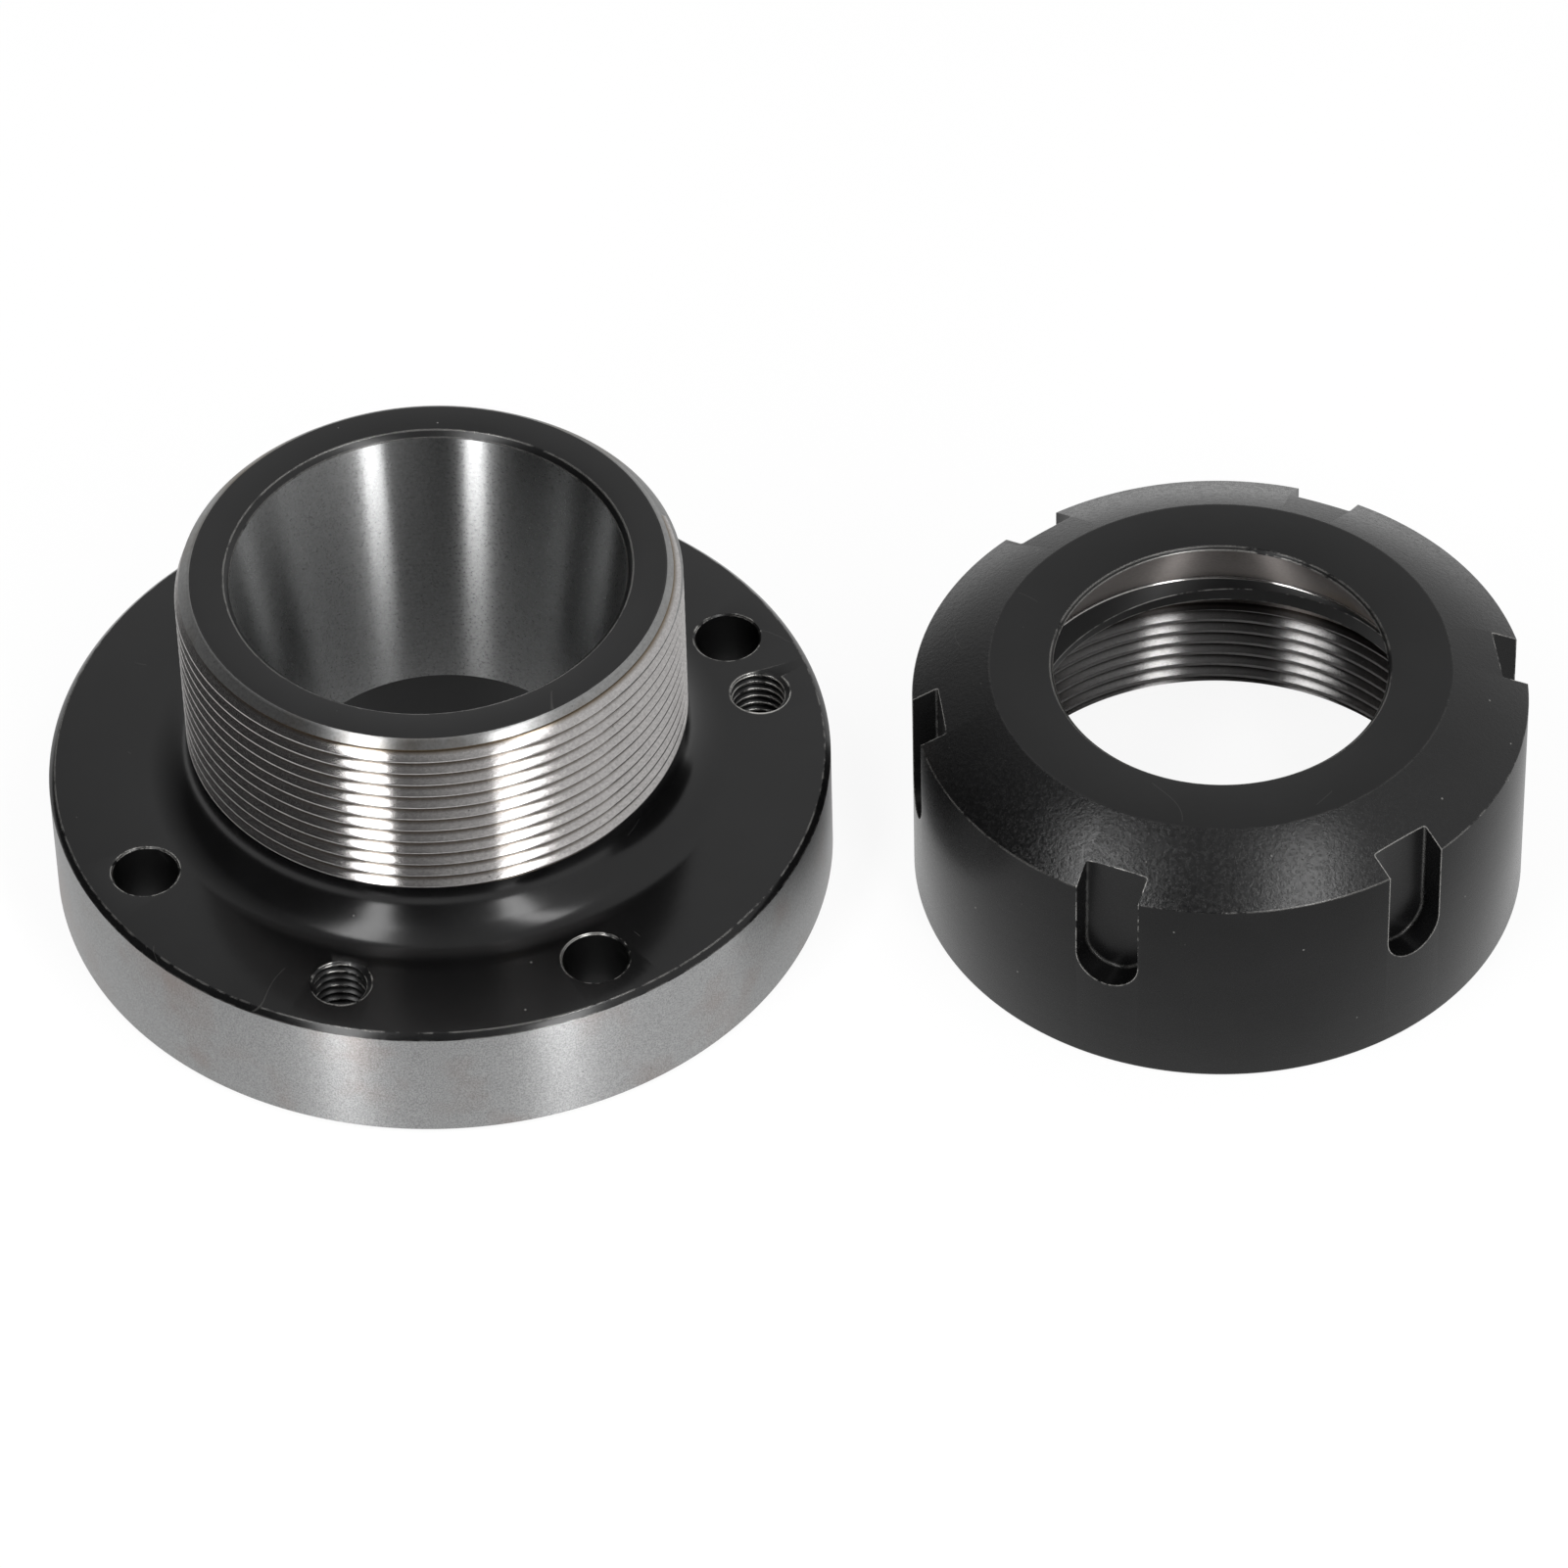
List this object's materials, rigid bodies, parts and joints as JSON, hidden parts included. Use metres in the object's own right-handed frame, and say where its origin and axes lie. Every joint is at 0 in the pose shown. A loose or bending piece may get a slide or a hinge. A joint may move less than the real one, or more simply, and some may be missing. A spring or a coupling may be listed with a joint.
{
  "type": "flange collet chuck",
  "caption": "Flange-mounted collet chuck body with a tapered collet socket and threaded nose, and its slotted clamping nut standing beside it.",
  "frame": {"origin": "on the body's axis, in the plane of the flange's rear face", "axes": "+Z along the body's axis to the nose, +X roughly towards the nut that stands beside it"},
  "size_m": [0.1884, 0.1, 0.05],
  "materials": {
    "chuck_body_steel": "ground satin rim and thread, black oxide on the face, cove and bore",
    "nut_black_oxide": "black oxide, satin, worn bright at the edges"
  },
  "bodies": {
    "root": {"chuck_body": "chuck_body_steel", "clamping_nut": "nut_black_oxide"}
  },
  "joints": []
}
